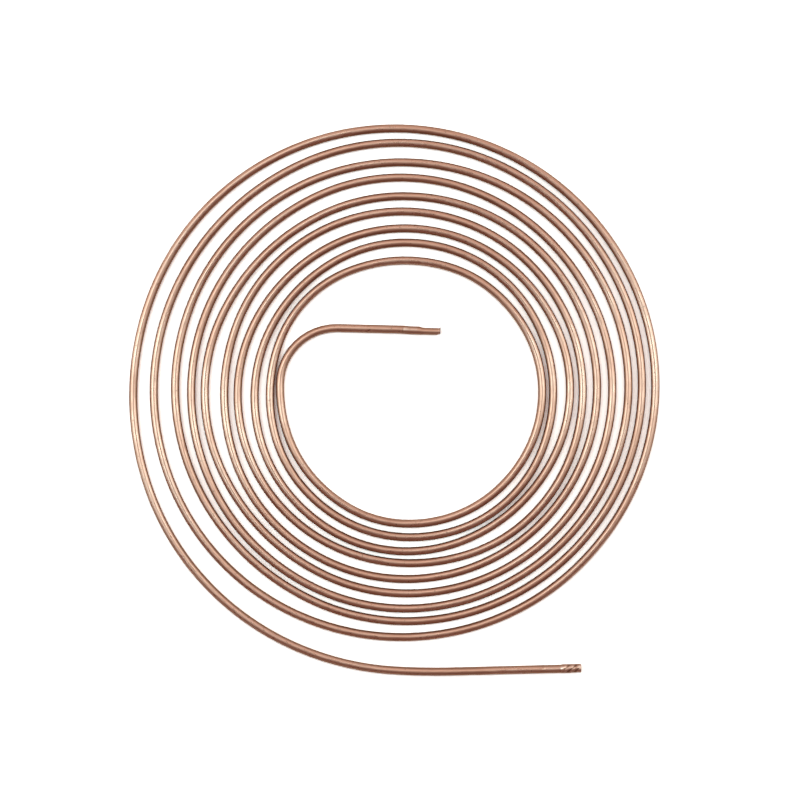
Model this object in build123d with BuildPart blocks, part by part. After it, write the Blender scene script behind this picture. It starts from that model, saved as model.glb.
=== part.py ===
from build123d import *

import os
from math import atan2, degrees, pi, radians, sqrt

# Tube, in millimetres: 3/16 in outside, drawn with a 0.028 in wall
TUBE_OD = 4.76
WALL = 0.71

# Clear reach from the winding centre to the innermost turn, on eight sides of the coil
EYE_LEFT = 64.0
EYE_LOWER_LEFT = 67.5
EYE_BOTTOM = 75.0
EYE_LOWER_RIGHT = 80.5
EYE_RIGHT = 82.0
EYE_UPPER_RIGHT = 77.0
EYE_TOP = 71.0
EYE_UPPER_LEFT = 70.0

# Clear gaps between neighbouring turns on each side, from the eye outwards
GAPS_LEFT = [1.0, 4.0, 5.0, 3.0, 6.5, 3.0, 4.5, 7.5, 7.0]
GAPS_LOWER_LEFT = [3.0, 4.0, 3.5, 4.5, 3.0, 4.5, 2.5, 8.0, 10.5]
GAPS_BOTTOM = [3.0, 3.5, 2.0, 4.5, 3.5, 4.0, 2.5, 4.5, 14.5]
GAPS_LOWER_RIGHT = [3.5, 1.5, 5.0, 2.0, 4.0, 3.0, 3.0, 3.5]
GAPS_RIGHT = [1.5, 5.0, 2.5, 3.5, 4.0, 4.5, 3.0, 3.0]
GAPS_UPPER_RIGHT = [4.0, 3.5, 4.0, 4.5, 3.5, 5.5, 4.0, 3.0]
GAPS_TOP = [5.5, 3.5, 5.0, 4.0, 6.0, 4.0, 6.5, 3.5]
GAPS_UPPER_LEFT = [2.5, 4.5, 5.5, 3.5, 5.5, 5.5, 6.0, 6.5]

# Inner tail: it lies across the eye, and its bend runs down into the first turn on the left
INNER_TAIL = 59.0
INNER_TILT = 1.4
INNER_TURN = 90.0
INNER_BEND = 32.5
INNER_LEAD = 2.2
INNER_LEAN = 0.0

# Outer tail: the last turn eases out of its curve at the bottom and runs off straight
OUTER_TAIL = 73.5
OUTER_TILT = 1.4
OUTER_BEND = 415.0
OUTER_LEAN = 3.2

# The winding starts on the left and runs round by the bottom, the right and the top
START_ANGLE = 180.0
SIDES = [
    (EYE_LEFT, GAPS_LEFT),
    (EYE_LOWER_LEFT, GAPS_LOWER_LEFT),
    (EYE_BOTTOM, GAPS_BOTTOM),
    (EYE_LOWER_RIGHT, GAPS_LOWER_RIGHT),
    (EYE_RIGHT, GAPS_RIGHT),
    (EYE_UPPER_RIGHT, GAPS_UPPER_RIGHT),
    (EYE_TOP, GAPS_TOP),
    (EYE_UPPER_LEFT, GAPS_UPPER_LEFT),
]
SIDE_ANGLE = 360.0 / len(SIDES)


def turn_radii(eye, gaps):
    """Radii of the tube's centre line where the turns cross one side of the coil."""
    return [eye + TUBE_OD / 2 + n * TUBE_OD + sum(gaps[:n]) for n in range(len(gaps) + 1)]


def joint(start, leaving, end, arriving):
    """Point where two arcs meet that leave start and arrive at end along the given headings."""
    chord = end - start
    lean = chord.dot(leaving + arriving)
    turn = 2 * (1 - leaving.dot(arriving))
    reach = (sqrt(lean**2 + turn * chord.dot(chord)) - lean) / turn
    return (start + end + (leaving - arriving) * reach) / 2


# Stations of the centre line, one for each side of each turn
side_radii = [turn_radii(eye, gaps) for eye, gaps in SIDES]
station_count = sum(len(radii) for radii in side_radii)
radii = [side_radii[k % len(SIDES)][k // len(SIDES)] for k in range(station_count)]
angles = [START_ANGLE + SIDE_ANGLE * k for k in range(station_count)]
points = [Vector(r, 0).rotate(Axis.Z, a) for r, a in zip(radii, angles)]

# Outward lean of the tube at each station, in degrees, from the growth between its neighbours
growth = [(after - before) / radians(2 * SIDE_ANGLE) for before, after in zip(radii, radii[2:])]
leans = [INNER_LEAN] + [degrees(atan2(g, r)) for g, r in zip(growth, radii[1:])] + [OUTER_LEAN]
headings = [Vector(0, 1).rotate(Axis.Z, a - lean) for a, lean in zip(angles, leans)]

with BuildLine() as winding:
    lead = Line(points[0], points[0] - headings[0] * INNER_LEAD)
    inner_bend = JernArc(lead @ 1, lead % 1, INNER_BEND, -(INNER_TURN + INNER_TILT - INNER_LEAN))
    Line(inner_bend @ 1, inner_bend @ 1 + inner_bend % 1 * INNER_TAIL)
    for k in range(station_count - 1):
        meeting = joint(points[k], headings[k], points[k + 1], headings[k + 1])
        first_arc = TangentArc(points[k], meeting, tangent=headings[k])
        TangentArc(meeting, points[k + 1], tangent=first_arc % 1)
    outer_bend = JernArc(points[-1], headings[-1], OUTER_BEND, OUTER_LEAN + OUTER_TILT)
    Line(outer_bend @ 1, outer_bend @ 1 + outer_bend % 1 * OUTER_TAIL)

# The coil lies on the floor, with the origin under the middle of its outline
middle = winding.wire().bounding_box().center()
route = winding.wire().moved(Location((-middle.X, -middle.Y, TUBE_OD / 2)))

with BuildPart() as copper_tube:
    with BuildSketch(Plane(origin=route @ 0, z_dir=route % 0)):
        Circle(TUBE_OD / 2)
        Circle(TUBE_OD / 2 - WALL, mode=Mode.SUBTRACT)
    sweep(path=route)
copper_tube.part.label = "copper_tube"

os.makedirs("parts", exist_ok=True)
export_step(copper_tube.part, "parts/copper_tube.step")

section = pi * WALL * (TUBE_OD - WALL)
bends = sorted(edge.radius for edge in route.edges().filter_by(GeomType.CIRCLE))
print(f"length {route.length:.1f} mm, tightest bend {bends[0]:.1f} mm")
print(f"volume {copper_tube.part.volume:.1f}, section by length {section * route.length:.1f}")
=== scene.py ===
import cmath
from math import atan2, ceil, pi, radians, sin, sqrt

import bpy
import numpy as np
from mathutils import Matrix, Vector


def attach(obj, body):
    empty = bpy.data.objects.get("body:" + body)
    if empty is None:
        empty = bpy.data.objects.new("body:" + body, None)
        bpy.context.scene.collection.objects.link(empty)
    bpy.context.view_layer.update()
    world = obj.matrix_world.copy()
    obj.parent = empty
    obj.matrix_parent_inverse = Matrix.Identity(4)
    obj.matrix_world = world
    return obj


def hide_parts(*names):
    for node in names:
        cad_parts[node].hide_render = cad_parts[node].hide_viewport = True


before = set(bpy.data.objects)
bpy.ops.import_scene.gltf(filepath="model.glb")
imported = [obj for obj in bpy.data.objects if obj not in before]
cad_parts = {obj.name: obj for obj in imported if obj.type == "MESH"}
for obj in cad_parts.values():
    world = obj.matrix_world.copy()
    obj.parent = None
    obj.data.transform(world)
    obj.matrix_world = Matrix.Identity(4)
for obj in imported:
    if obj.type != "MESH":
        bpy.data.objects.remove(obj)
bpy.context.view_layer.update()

# Tube, in metres, with the names and values of the part's source, as for the winding below
TUBE_OD = 0.00476
WALL = 0.00071
RADIUS = TUBE_OD / 2
BORE_RADIUS = RADIUS - WALL

# Clear reach from the winding centre to the innermost turn, on eight sides of the coil
EYE_LEFT = 0.0640
EYE_LOWER_LEFT = 0.0675
EYE_BOTTOM = 0.0750
EYE_LOWER_RIGHT = 0.0805
EYE_RIGHT = 0.0820
EYE_UPPER_RIGHT = 0.0770
EYE_TOP = 0.0710
EYE_UPPER_LEFT = 0.0700

# Clear gaps between neighbouring turns on each side, from the eye outwards
GAPS_LEFT = [0.0010, 0.0040, 0.0050, 0.0030, 0.0065, 0.0030, 0.0045, 0.0075, 0.0070]
GAPS_LOWER_LEFT = [0.0030, 0.0040, 0.0035, 0.0045, 0.0030, 0.0045, 0.0025, 0.0080, 0.0105]
GAPS_BOTTOM = [0.0030, 0.0035, 0.0020, 0.0045, 0.0035, 0.0040, 0.0025, 0.0045, 0.0145]
GAPS_LOWER_RIGHT = [0.0035, 0.0015, 0.0050, 0.0020, 0.0040, 0.0030, 0.0030, 0.0035]
GAPS_RIGHT = [0.0015, 0.0050, 0.0025, 0.0035, 0.0040, 0.0045, 0.0030, 0.0030]
GAPS_UPPER_RIGHT = [0.0040, 0.0035, 0.0040, 0.0045, 0.0035, 0.0055, 0.0040, 0.0030]
GAPS_TOP = [0.0055, 0.0035, 0.0050, 0.0040, 0.0060, 0.0040, 0.0065, 0.0035]
GAPS_UPPER_LEFT = [0.0025, 0.0045, 0.0055, 0.0035, 0.0055, 0.0055, 0.0060, 0.0065]

# Inner tail: it lies across the eye, and its bend runs down into the first turn on the left
INNER_TAIL = 0.0590
INNER_TILT = radians(1.4)
INNER_TURN = radians(90.0)
INNER_BEND = 0.0325
INNER_LEAD = 0.0022
INNER_LEAN = 0.0

# Outer tail: the last turn eases out of its curve at the bottom and runs off straight
OUTER_TAIL = 0.0735
OUTER_TILT = radians(1.4)
OUTER_BEND = 0.4150
OUTER_LEAN = radians(3.2)

# The winding starts on the left and runs round by the bottom, the right and the top
START_ANGLE = pi
SIDES = [
    (EYE_LEFT, GAPS_LEFT),
    (EYE_LOWER_LEFT, GAPS_LOWER_LEFT),
    (EYE_BOTTOM, GAPS_BOTTOM),
    (EYE_LOWER_RIGHT, GAPS_LOWER_RIGHT),
    (EYE_RIGHT, GAPS_RIGHT),
    (EYE_UPPER_RIGHT, GAPS_UPPER_RIGHT),
    (EYE_TOP, GAPS_TOP),
    (EYE_UPPER_LEFT, GAPS_UPPER_LEFT),
]
SIDE_ANGLE = 2 * pi / len(SIDES)

# Mesh of the tube: rings along it, closer at the worked ends, a bevelled rim and corners round each ring
RING_STEP = 0.0045
END_STEP = 0.0003
END_LENGTH = 0.0245
RIM = 0.00015
RIM_SHARE = 0.06
OUTER_CORNERS = 32
BORE_CORNERS = 16
SHARP_ANGLE = radians(40)

# Sheet that the tube's skin is laid out on for baking: strips, then the bore and the two cut faces
STRIPS = 20
STRIP_END = 0.0050
STRIP_GAP = 0.0008
BORE_ROW = 0.0105
CUT_FACE_ROOM = 2 * TUBE_OD

# Worked ends: places are distances from the end's own tip, and a pair of places says where a change
# starts and where it is complete. Inward is sideways, towards the coil's middle.

# Inner end: a kink after a scored line, and a pinched tip, worn on its inward side, with a burr opposite
SCORE = 0.0214
KINK = (SCORE, 0.0175)
KINK_SHIFT = 0.00029
PINCH = (0.0128, 0.0092)
PINCH_SHARE = 0.16
PINCH_SHIFT = 0.00032
BURR = (0.0008, 0.0)
BURR_SHARE = 0.40
WORN_CORNER = (0.0023, 0.0)
WORN_SHARE = 0.28

# Outer end: a nick, a raised lip, and a tip that a jaw has spread and flattened, with a stepped side
NICK = 0.0214
LIP = 0.0112
JAW = (0.0122, 0.0100)
JAW_SPREAD = 0.09
JAW_FLAT = 0.14
JAW_STEP = (0.0066, 0.0050)
JAW_STEP_SHARE = 0.06

# Slanting grooves on the face that the jaw has pressed
JAW_FACE = (0.0108, 0.0098)
GROOVE_DEPTH = 0.00026
GROOVE_PITCH = 0.0040
GROOVE_SLANT = 1.4
GROOVE_FIRST = 0.0096
GROOVES_END = (0.0004, 0.0014)
GROOVED_HEIGHT = (0.1 * RADIUS, 0.6 * RADIUS)

# Raised and sunk marks on top of the ends, as (height, place, reach along, place inward, reach across)
INNER_RELIEF = [
    (-0.00012, SCORE, 0.0004, 0.0002, 0.0014),
]
OUTER_RELIEF = [
    (0.00014, LIP, 0.0007, 0.0005, 0.0012),
    (-0.00016, NICK, 0.0004, 0.0003, 0.0012),
]

# Wear on top of the ends, from 1 for bare copper to -1 for dirt, in marks as above
DIRT_IN_SCORE = (-0.7, SCORE + 0.0003, 0.0003, 0.0001, 0.0013)
SCUFF = (0.3, 0.0202, 0.0014, -0.0004, 0.0009)
BARE_LIP = (1.0, LIP, 0.0009, 0.0006, 0.0010)
DIRT_IN_NICK = (-0.6, NICK + 0.0003, 0.0003, 0.0002, 0.0011)
CHIP = (1.0, 0.0009, 0.0005, 0.0011, 0.0005)
DARK_SPOT = (-0.7, 0.0027, 0.0007, 0.0010, 0.0006)

# Rubbed patches between two marks, as (wear, far place, near place, place inward, reach across)
INNER_PATCH = (0.45, SCORE, PINCH[0], -0.0005, 0.0011)
OUTER_PATCH = (0.40, NICK, LIP, 0.0006, 0.0010)
PATCH_FAR_FADE = 0.0004
PATCH_NEAR_FADE = 0.0010

# Wear of the jaw's face and its grooves, the darkening at the inner cut, and the edge behind that, as
# (place, reach)
RUBBED_HEIGHT = (0.0, 0.5 * RADIUS)
JAW_SHINE = 0.35
GROOVE_DIRT = 0.65
CUT = (0.0006, 0.0002)
CUT_DARKENING = 0.8
CUT_EDGE = (0.0010, 0.0003)
CUT_EDGE_SHINE = 0.5

# Copper's colours: bright on top, painted shade on the flanks (a darker copper for the tube's dark
# edges), tarnish in streaks, and clean underneath
COPPER = (0.80, 0.51, 0.385, 1)
WARM_COPPER = (0.80, 0.46, 0.33, 1)
TARNISH_AND_FLANK_SHADE = (0.43, 0.24, 0.168, 1)
LOW_FLANK_SHADE = (0.46, 0.27, 0.19, 1)
STAIN = (0.22, 0.12, 0.08, 1)
BARE = (0.93, 0.72, 0.60, 1)
DIRT = (0.13, 0.07, 0.045, 1)
EDGE_TINT = (0.25, 0.18, 0.14, 1)

# Heights over the tube's middle at which the painted flank shade clears, and how far its border wanders
TOP_CLEARS = (0.58 * RADIUS, 0.92 * RADIUS)
FLANK_SHADE_LOWERS = (0.20 * RADIUS, 0.62 * RADIUS)
UNDERSIDE_CLEARS = (0.15 * RADIUS, -0.35 * RADIUS)
LINE_WANDER = 0.06 * RADIUS
BLOTCH_WANDER = 0.10 * RADIUS

# Patterns of the surface, as (cells a metre around the tube, cells a metre along it, detail)
LINES = (1500, 12, 4)
MOTTLE = (520, 150, 3)
BLOTCHES = (70, 18, 2)
SPECKS = (900, 650, 1)

# Levels of the patterns between which their effect grows, and how strong it gets
FINE_LEVELS = (0.3, 0.7)
BLOTCH_LEVELS = (0.35, 0.65)
WARM_LEVELS = (0.38, 0.62)
STREAK_LEVELS = (1.0, 1.3)
STREAK_SHARE = 0.30
SPECK_LEVELS = (0.68, 0.74)
SPECK_SHARE = 0.6

# Roughness and relief that the patterns give
ROUGHNESS = (0.26, 0.36)
BLOTCH_ROUGHNESS = (0.04, -0.03)
MOTTLE_RELIEF = 0.5
RELIEF_DEPTH = 0.000008

# Paper floor: its colour for scattered light, in metal and glass, and to the camera, and the distances
# from the coil between which it turns into a white glow
FLOOR_SIZE = 40.0
PAPER = (0.55, 0.53, 0.52, 1)
PAPER_MIRRORED = (1.10, 1.06, 1.04, 1)
PAPER_SEEN = (2.26, 2.16, 2.10, 1)
PAPER_NEAR = 0.45
PAPER_FAR = 1.0

# Softboxes, as (name, place, aim, width, height, radiance): strips overhead and panels at the sides
SOFTBOX_TINT = (0.71, 1.0, 1.06)
SOFTBOXES = [
    ("strip_left", (-0.90, 0.04, 1.25), (-0.90, 0.04, 0.0), 1.16, 0.72, 2.38),
    ("strip_right", (0.93, 0.14, 1.25), (0.93, 0.14, 0.0), 1.20, 0.56, 2.24),
    ("strip_back", (-0.38, 0.58, 1.25), (-0.38, 0.58, 0.0), 0.65, 0.65, 1.10),
    ("panel_left", (-2.2, 0.0, 1.0), (0.0, 0.0, 0.1), 1.8, 1.6, 0.75),
    ("panel_right", (2.2, 0.25, 1.0), (0.0, 0.0, 0.1), 1.6, 1.6, 0.9),
]

# Dim room: its colours, the directions between which its front turns into its back, and its ceiling
ROOM_FRONT = (0.20, 0.105, 0.09, 1)
ROOM_BACK = (0.68, 0.57, 0.53, 1)
ROOM_TOP = (0.28, 0.19, 0.165, 1)
ROOM_SIDES = (-0.45, 0.35)
ROOM_CEILING = (0.93, 0.985)

# Camera, with the photograph's frame at the height of the tube's middle
IMAGE_MIDDLE = (0.00328, 0.00002)
FRAME_WIDTH = 0.4600
LENS = 100.0
SENSOR_WIDTH = 36.0


# Route of the tube's centre line, as points and headings in the complex plane

def dot(a, b):
    return (a * b.conjugate()).real


def turn_radii(eye, gaps):
    """Radii of the tube's centre line where the turns cross one side of the coil."""
    return [eye + RADIUS + n * TUBE_OD + sum(gaps[:n]) for n in range(len(gaps) + 1)]


def joint(start, leaving, end, arriving):
    """Point where two arcs meet that leave start and arrive at end along the given headings."""
    chord = end - start
    lean = dot(chord, leaving + arriving)
    turn = 2 * (1 - dot(leaving, arriving))
    reach = (sqrt(lean**2 + turn * dot(chord, chord)) - lean) / turn
    return (start + end + (leaving - arriving) * reach) / 2


def arc(start, heading, end):
    """The arc that leaves start along the heading and ends at end, as a run of tube_runs."""
    half = cmath.phase((end - start) / heading)
    return start, heading, 2 * half, abs(end - start) * half / sin(half)


def tube_runs():
    """Straights and arcs from the inner tip to the outer one, as (start, heading, turn, length)."""
    side_radii = [turn_radii(eye, gaps) for eye, gaps in SIDES]
    count = sum(len(radii) for radii in side_radii)
    radii = [side_radii[k % len(SIDES)][k // len(SIDES)] for k in range(count)]
    angles = [START_ANGLE + SIDE_ANGLE * k for k in range(count)]
    points = [cmath.rect(r, a) for r, a in zip(radii, angles)]
    growth = [(after - before) / (2 * SIDE_ANGLE) for before, after in zip(radii, radii[2:])]
    leans = [INNER_LEAN] + [atan2(g, r) for g, r in zip(growth, radii[1:])] + [OUTER_LEAN]
    headings = [1j * cmath.rect(1, a - lean) for a, lean in zip(angles, leans)]

    inner_turn = INNER_TURN + INNER_TILT - INNER_LEAN
    lead_start = points[0] - headings[0] * INNER_LEAD
    tail_heading = headings[0] * cmath.rect(1, -inner_turn)
    bend_start = lead_start + (headings[0] - tail_heading) * 1j * INNER_BEND
    runs = [
        (bend_start - tail_heading * INNER_TAIL, tail_heading, 0, INNER_TAIL),
        (bend_start, tail_heading, inner_turn, INNER_BEND * inner_turn),
        (lead_start, headings[0], 0, INNER_LEAD),
    ]
    for k in range(count - 1):
        meeting = joint(points[k], headings[k], points[k + 1], headings[k + 1])
        first = arc(points[k], headings[k], meeting)
        second = arc(meeting, headings[k] * cmath.rect(1, first[2]), points[k + 1])
        runs += [first, second]
    outer_turn = OUTER_LEAN + OUTER_TILT
    outer_heading = headings[-1] * cmath.rect(1, outer_turn)
    outer_start = points[-1] - (outer_heading - headings[-1]) * 1j * OUTER_BEND
    runs += [
        (points[-1], headings[-1], outer_turn, OUTER_BEND * outer_turn),
        (outer_start, outer_heading, 0, OUTER_TAIL),
    ]
    return runs


def tail_shares(length):
    """Places of rings along a straight tail from its tip, as shares of its length."""
    rest = length - END_LENGTH
    near_tip = np.arange(END_STEP, END_LENGTH, END_STEP)
    away = END_LENGTH + rest * np.linspace(0, 1, ceil(rest / RING_STEP) + 1)
    return np.concatenate([[0, RIM], near_tip, away]) / length


def tube_rings():
    """Centres, headings and distances from the inner tip of the tube's rings."""
    runs = tube_runs()
    centres, headings, places = [], [], []
    passed = 0.0
    for k, (start, heading, turn, length) in enumerate(runs):
        if k == 0:
            shares = tail_shares(length)[:-1]
        elif k == len(runs) - 1:
            shares = 1 - tail_shares(length)[::-1]
        else:
            shares = np.arange(0, 1, 1 / ceil(length / RING_STEP))
        ways = heading * np.exp(1j * turn * shares)
        steps = (ways - heading) / (1j * turn) if turn else heading * shares
        centres.append(start + steps * length)
        headings.append(ways)
        places.append(passed + length * shares)
        passed += length
    centres, headings, places = (np.concatenate(x)[:, None] for x in (centres, headings, places))
    across, along = centres.real, centres.imag
    middle = complex(across.min() + across.max(), along.min() + along.max()) / 2
    return centres - middle, headings, places


# Shape and wear of the two ends

def ramp(x, start, end):
    """Smooth step from 0 at start to 1 at end."""
    share = np.clip((x - start) / (end - start), 0, 1)
    return share * share * (3 - 2 * share)


def hump(x, middle, reach):
    """Smooth hump of height 1 around the middle."""
    return np.exp(-(((x - middle) / reach) ** 2))


def marks(rows, from_tip, inward):
    """Sum of smooth marks, as (amount, place, reach along, place inward, reach across)."""
    return sum(
        amount * hump(from_tip, place, reach) * hump(inward, side, width)
        for amount, place, reach, side, width in rows
    )


def patch(amount, far, near, side, width, from_tip, inward):
    """A smooth patch from the far place to the near one, on one side of the tube's middle."""
    length = ramp(from_tip, far, far - PATCH_FAR_FADE) * ramp(from_tip, near, near + PATCH_NEAR_FADE)
    return amount * length * hump(inward, side, width)


def bend_ends(inward, up, from_inner, from_outer):
    """Kinks, pinches and wears the inner end, and spreads and flattens the outer one."""
    pinch = ramp(from_inner, *PINCH)
    jaw = ramp(from_outer, *JAW)
    inner_side = 1 - WORN_SHARE * ramp(from_inner, *WORN_CORNER)
    outer_side = 1 + BURR_SHARE * ramp(from_inner, *BURR)
    outer_side = outer_side * (1 - JAW_STEP_SHARE * ramp(from_outer, *JAW_STEP))
    inward = inward * np.where(inward > 0, inner_side, outer_side)
    inward = inward * (1 - PINCH_SHARE * pinch) * (1 + JAW_SPREAD * jaw)
    inward = inward + KINK_SHIFT * ramp(from_inner, *KINK) + PINCH_SHIFT * pinch
    up = (up + RADIUS) * (1 - JAW_FLAT * jaw) - RADIUS
    return inward, up


def jaw_bite(inward, up, from_outer):
    """Slanting grooves that the jaw has left on the outer end's top, from 0 to 1."""
    wave = np.cos(2 * pi * (from_outer + GROOVE_SLANT * inward - GROOVE_FIRST) / GROOVE_PITCH)
    face = ramp(from_outer, *JAW_FACE) * ramp(from_outer, *GROOVES_END)
    return ((1 + wave) / 2) ** 2 * ramp(up, *GROOVED_HEIGHT) * face


def end_relief(inward, up, from_inner, from_outer):
    """Height of the marks on the ends over the plain tube."""
    top = marks(INNER_RELIEF, from_inner, inward) + marks(OUTER_RELIEF, from_outer, inward)
    return top * (up > 0) - GROOVE_DEPTH * jaw_bite(inward, up, from_outer)


def end_wear(inward, up, from_inner, from_outer):
    """Where the ends are rubbed bare, up to 1, and where dirt sits or the inner cut is darkened, down to
    -1.
    """
    bite = jaw_bite(inward, up, from_outer)
    jaw = ramp(from_outer, *JAW_FACE) * ramp(up, *RUBBED_HEIGHT)
    outer = JAW_SHINE * jaw * (1 - bite) ** 2 - GROOVE_DIRT * bite
    outer = outer + marks([BARE_LIP, DIRT_IN_NICK, CHIP, DARK_SPOT], from_outer, inward)
    outer = outer + patch(*OUTER_PATCH, from_outer, inward)
    inner = marks([DIRT_IN_SCORE, SCUFF], from_inner, inward)
    inner = inner + patch(*INNER_PATCH, from_inner, inward)
    inner = inner + CUT_EDGE_SHINE * hump(from_inner, *CUT_EDGE)
    # The last stretch before the inner cut is darkened all round
    return np.clip((outer + inner) * (up > 0) - CUT_DARKENING * ramp(from_inner, *CUT), -1, 1)


# Mesh

def skin(rings, radius, corners, marked):
    """A surface round the centre line, with one row of points per ring.

    Gives its points, their places on straight stock and their wear. Only a marked surface has the
    marks of the worked ends, and its rims are cut back, where those of the bore are opened.
    """
    centres, headings, places = rings
    angle = 2 * pi * np.arange(corners)[None] / corners
    inward = radius * np.cos(angle) + 0 * places
    up = radius * np.sin(angle) + 0 * places
    stock = np.stack([inward, up, places + 0 * angle], -1)
    to_tips = places, places[-1] - places
    rim = RIM_SHARE * ramp(np.minimum(*to_tips), RIM, 0)
    if marked:
        wear = end_wear(inward, up, *to_tips)
        grown = 1 + end_relief(inward, up, *to_tips) / radius
        trim = 1 - rim
    else:
        wear = 0 * inward
        grown = 1
        trim = 1 + rim
    inward, up = bend_ends(inward * grown, up * grown, *to_tips)
    flat = centres + 1j * headings * inward * trim
    points = np.stack([flat.real, flat.imag, RADIUS + up * trim], -1)
    return points, stock, wear


def skin_faces(first, rows, corners):
    """Four-cornered faces of a skin whose points start at number first."""
    number = first + np.arange(rows * corners).reshape(rows, corners)
    after = np.roll(number, -1, axis=1)
    return np.stack([number[:-1], after[:-1], after[1:], number[1:]], -1).reshape(-1, 4)


def cut_faces(row, bore_first):
    """Faces between the outer skin and the bore in one row of their points."""
    ratio = OUTER_CORNERS // BORE_CORNERS
    faces = []
    for j in range(BORE_CORNERS):
        outer = [(j * ratio + n) % OUTER_CORNERS for n in range(ratio + 1)]
        inner = [(j + 1) % BORE_CORNERS, j]
        face = [row * OUTER_CORNERS + corner for corner in outer]
        face += [bore_first + row * BORE_CORNERS + corner for corner in inner]
        faces.append(face)
    return faces


def sheet_corners(places, corners, strips, girth, base):
    """Places on the sheet of a skin's faces, laid out in strips of equal length."""
    strip_length = places[-1] / STRIPS
    ahead, behind = places[1:], places[:-1]
    strip = np.floor((ahead + behind) / 2 / places[-1] * strips)
    along = np.stack([behind, behind, ahead, ahead], -1) * strips / STRIPS
    along = along - (strip * strip_length)[:, None] + STRIP_END
    turn = np.arange(corners)
    around = girth * np.stack([turn, turn + 1, turn + 1, turn], -1) / corners
    across = around[None] + base + (strip * (girth + STRIP_GAP))[:, None, None]
    along = np.broadcast_to(along[:, None], across.shape)
    return np.stack([along, across], -1).reshape(-1, 2)


def cut_corners(stock, base):
    """Places on the sheet of the corners of the two cut faces, side by side."""
    face = np.where(stock[:, 2] > 0, 2, 1)
    return np.stack([stock[:, 0] + face * CUT_FACE_ROOM, stock[:, 1] + base], -1)


def tube_mesh():
    """The open tube, with its places on straight stock and its wear as attributes."""
    rings = tube_rings()
    outer, outer_stock, outer_wear = skin(rings, RADIUS, OUTER_CORNERS, True)
    bore, bore_stock, bore_wear = skin(rings, BORE_RADIUS, BORE_CORNERS, False)
    points = np.concatenate([outer.reshape(-1, 3), bore.reshape(-1, 3)])
    stock = np.concatenate([outer_stock.reshape(-1, 3), bore_stock.reshape(-1, 3)])
    wear = np.concatenate([outer_wear.ravel(), bore_wear.ravel()])

    rows = len(outer)
    bore_first = outer_wear.size
    cuts = cut_faces(0, bore_first) + [face[::-1] for face in cut_faces(rows - 1, bore_first)]
    faces = skin_faces(0, rows, OUTER_CORNERS)[:, ::-1].tolist()
    faces += skin_faces(bore_first, rows, BORE_CORNERS).tolist()
    faces += cuts
    mesh = bpy.data.meshes.new("copper_tube")
    mesh.from_pydata(points.tolist(), [], faces)
    mesh.attributes.new("stock", "FLOAT_VECTOR", "POINT").data.foreach_set("vector", stock.ravel())
    mesh.attributes.new("wear", "FLOAT", "POINT").data.foreach_set("value", wear)

    places = rings[2][:, 0]
    girth = 2 * pi * RADIUS
    bore_base = STRIPS * (girth + STRIP_GAP)
    outer_map = sheet_corners(places, OUTER_CORNERS, STRIPS, girth, 0)
    outer_map = outer_map.reshape(-1, 4, 2)[:, ::-1].reshape(-1, 2)
    bore_map = sheet_corners(places, BORE_CORNERS, 1, BORE_ROW, bore_base)
    cut_stock = stock[[corner for face in cuts for corner in face]]
    cut_map = cut_corners(cut_stock, bore_base + BORE_ROW + CUT_FACE_ROOM)
    sheet = places[-1] / STRIPS + 2 * STRIP_END
    laid_out = np.concatenate([outer_map, bore_map, cut_map]) / sheet
    mesh.uv_layers.new(name="OFBake").data.foreach_set("uv", laid_out.ravel())
    mesh.shade_smooth()
    mesh.set_sharp_from_angle(angle=SHARP_ANGLE)
    return mesh


# Materials

def add_node(tree, kind, inputs=None, **settings):
    """Adds a node. Inputs hold, by socket name or number, a value or another node's output socket."""
    node = tree.nodes.new(kind)
    for name, value in settings.items():
        setattr(node, name, value)
    for name, value in (inputs or {}).items():
        if isinstance(value, bpy.types.NodeSocket):
            tree.links.new(value, node.inputs[name])
        else:
            node.inputs[name].default_value = value
    return node


def calculate(tree, operation, first, second):
    return add_node(tree, "ShaderNodeMath", {0: first, 1: second}, operation=operation).outputs[0]


def smooth_step(tree, value, low, high, to_low=0.0, to_high=1.0):
    """Smooth step from to_low, where the value is low, to to_high, where it is high."""
    inputs = {0: value, 1: low, 2: high, 3: to_low, 4: to_high}
    return add_node(tree, "ShaderNodeMapRange", inputs, interpolation_type="SMOOTHSTEP").outputs[0]


def mix_colours(tree, share, first, second):
    inputs = {0: share, 6: first, 7: second}
    return add_node(tree, "ShaderNodeMix", inputs, data_type="RGBA").outputs[2]


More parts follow.
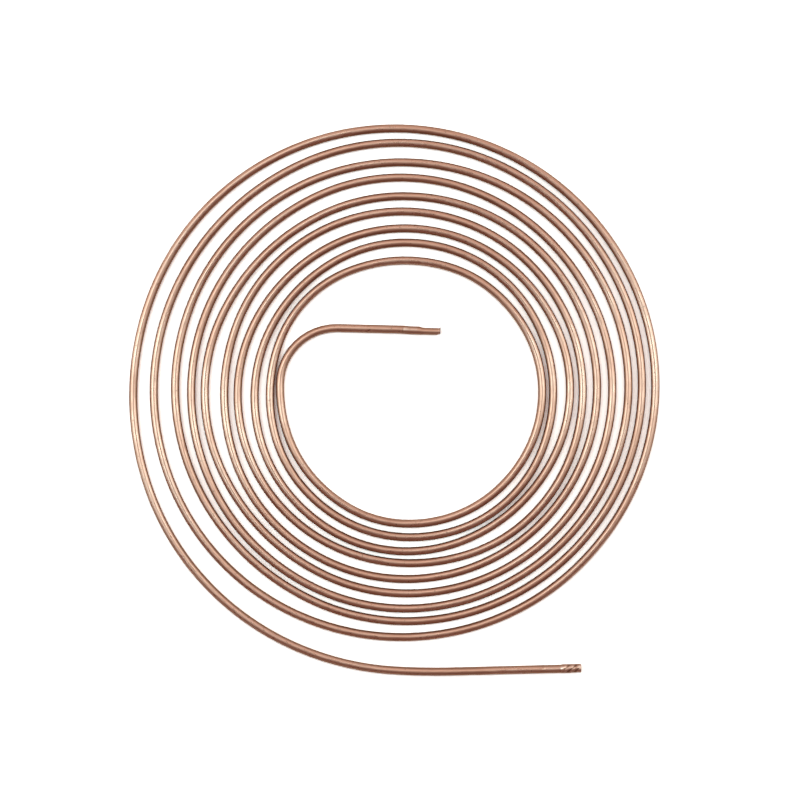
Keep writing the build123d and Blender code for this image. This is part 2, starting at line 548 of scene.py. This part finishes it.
def copper_material():
    """Drawn copper: lines along it, tarnish in streaks, painted shade on its flanks, stains, specks and
    the marks on its ends.
    """
    material = bpy.data.materials.new("copper")
    material.use_nodes = True
    tree = material.node_tree
    shader = tree.nodes["Principled BSDF"]
    stock = add_node(tree, "ShaderNodeAttribute", attribute_name="stock").outputs["Vector"]
    wear = add_node(tree, "ShaderNodeAttribute", attribute_name="wear").outputs["Fac"]
    height = add_node(tree, "ShaderNodeSeparateXYZ", {0: stock}).outputs["Y"]

    def pattern(around, along, detail):
        """Noise on the straight stock, with about that many cells a metre around and along it."""
        inputs = {0: stock, 1: (around, around, along)}
        place = add_node(tree, "ShaderNodeVectorMath", inputs, operation="MULTIPLY").outputs[0]
        inputs = {"Vector": place, "Scale": 1.0, "Detail": detail}
        return add_node(tree, "ShaderNodeTexNoise", inputs).outputs[0]

    def level(value, levels, to_low=0.0, to_high=1.0):
        return smooth_step(tree, value, *levels, to_low, to_high)

    def total(first, second):
        return calculate(tree, "ADD", first, second)

    def mix(share, first, second):
        return mix_colours(tree, share, first, second)

    lines = pattern(*LINES)
    mottle = pattern(*MOTTLE)
    blotches = pattern(*BLOTCHES)
    specks = pattern(*SPECKS)

    border = total(height, level(lines, FINE_LEVELS, -LINE_WANDER, LINE_WANDER))
    border = total(border, level(blotches, BLOTCH_LEVELS, -BLOTCH_WANDER, BLOTCH_WANDER))
    # Painted shade: between the bright top and the clean underside, the flanks take a darker copper by
    # height
    clear_of_flank_shade = total(level(border, TOP_CLEARS), level(border, UNDERSIDE_CLEARS))
    streaks = level(total(lines, mottle), STREAK_LEVELS, 0.0, STREAK_SHARE)
    colour = mix(level(blotches, WARM_LEVELS), WARM_COPPER, COPPER)
    colour = mix(streaks, colour, TARNISH_AND_FLANK_SHADE)
    colour = mix(clear_of_flank_shade, mix(level(border, FLANK_SHADE_LOWERS), LOW_FLANK_SHADE, TARNISH_AND_FLANK_SHADE), colour)
    colour = mix(level(specks, SPECK_LEVELS, 0.0, SPECK_SHARE), colour, STAIN)
    colour = mix(level(wear, (0.0, 1.0)), colour, BARE)
    colour = mix(level(wear, (0.0, -1.0)), colour, DIRT)
    tree.links.new(colour, shader.inputs["Base Color"])

    roughness = level(mottle, FINE_LEVELS, *ROUGHNESS)
    roughness = total(roughness, level(blotches, BLOTCH_LEVELS, *BLOTCH_ROUGHNESS))
    tree.links.new(roughness, shader.inputs["Roughness"])
    relief = total(lines, level(mottle, FINE_LEVELS, 0.0, MOTTLE_RELIEF))
    inputs = {"Strength": 1.0, "Distance": RELIEF_DEPTH, "Height": relief}
    bump = add_node(tree, "ShaderNodeBump", inputs).outputs[0]
    tree.links.new(bump, shader.inputs["Normal"])
    shader.inputs["Metallic"].default_value = 1.0
    shader.inputs["Specular Tint"].default_value = EDGE_TINT
    return material


def floor_material():
    """White paper that keeps the object's shadow, and glows far away where it is seen or mirrored."""
    material = bpy.data.materials.new("paper")
    material.use_nodes = True
    tree = material.node_tree
    tree.nodes.remove(tree.nodes["Principled BSDF"])
    path = add_node(tree, "ShaderNodeLightPath").outputs
    views = [
        ("Is Glossy Ray", PAPER_MIRRORED),
        ("Is Transmission Ray", PAPER_MIRRORED),
        ("Is Camera Ray", PAPER_SEEN),
    ]
    seen = 0.0
    white = PAPER
    for ray, colour in views:
        seen = calculate(tree, "MAXIMUM", seen, path[ray])
        white = mix_colours(tree, path[ray], white, colour)
    white = mix_colours(tree, path["Diffuse Depth"], white, PAPER)
    paper = add_node(tree, "ShaderNodeBsdfDiffuse", {"Color": white}).outputs[0]
    place = add_node(tree, "ShaderNodeTexCoord").outputs["Object"]
    distance = add_node(tree, "ShaderNodeVectorMath", {0: place}, operation="LENGTH").outputs["Value"]
    far = smooth_step(tree, distance, PAPER_NEAR, PAPER_FAR)
    far_seen = calculate(tree, "MULTIPLY", far, seen)
    glow = add_node(tree, "ShaderNodeEmission", {"Strength": 1.0}).outputs[0]
    surface = add_node(tree, "ShaderNodeMixShader", {0: far_seen, 1: paper, 2: glow}).outputs[0]
    tree.links.new(surface, tree.nodes["Material Output"].inputs["Surface"])
    return material


# Studio

def floor_mesh():
    half = FLOOR_SIZE / 2
    mesh = bpy.data.meshes.new("floor")
    corners = [(-half, -half, 0), (half, -half, 0), (half, half, 0), (-half, half, 0)]
    mesh.from_pydata(corners, [], [(0, 1, 2, 3)])
    mesh.materials.append(floor_material())
    return mesh


def softbox(name, place, aim, width, height, radiance):
    """A rectangular lamp that shows in a mirror at the given radiance."""
    lamp = bpy.data.lights.new(name, "AREA")
    lamp.color = SOFTBOX_TINT
    lamp.shape = "RECTANGLE"
    lamp.size, lamp.size_y = width, height
    lamp.energy = radiance * pi * width * height
    box = bpy.data.objects.new(name, lamp)
    box.location = place
    box.rotation_euler = (Vector(aim) - Vector(place)).to_track_quat("-Z", "Y").to_euler()
    bpy.context.scene.collection.objects.link(box)


def room():
    """The dim room around, lighter behind the coil and with a ceiling of its own."""
    world = bpy.data.worlds.new("room")
    world.use_nodes = True
    tree = world.node_tree
    around = add_node(tree, "ShaderNodeTexCoord").outputs["Generated"]
    direction = add_node(tree, "ShaderNodeSeparateXYZ", {0: around}).outputs
    back = smooth_step(tree, direction["Y"], *ROOM_SIDES)
    overhead = smooth_step(tree, direction["Z"], *ROOM_CEILING)
    walls = mix_colours(tree, back, ROOM_FRONT, ROOM_BACK)
    colour = mix_colours(tree, overhead, walls, ROOM_TOP)
    tree.links.new(colour, tree.nodes["Background"].inputs["Color"])
    return world


# The coil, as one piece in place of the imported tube

coil = bpy.data.objects.new("coil", tube_mesh())
bpy.context.scene.collection.objects.link(coil)
coil.data.materials.append(copper_material())
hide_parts("copper_tube")
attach(coil, "root")

# Paper floor, five softboxes and the room

floor = bpy.data.objects.new("floor", floor_mesh())
bpy.context.scene.collection.objects.link(floor)
for settings in SOFTBOXES:
    softbox(*settings)
bpy.context.scene.world = room()

# Camera straight above

camera_data = bpy.data.cameras.new("camera")
camera_data.lens = LENS
camera_data.sensor_width = SENSOR_WIDTH
camera = bpy.data.objects.new("camera", camera_data)
camera.location = (*IMAGE_MIDDLE, RADIUS + FRAME_WIDTH * LENS / SENSOR_WIDTH)
bpy.context.scene.collection.objects.link(camera)
bpy.context.scene.camera = camera
bpy.context.scene.view_settings.view_transform = "Standard"
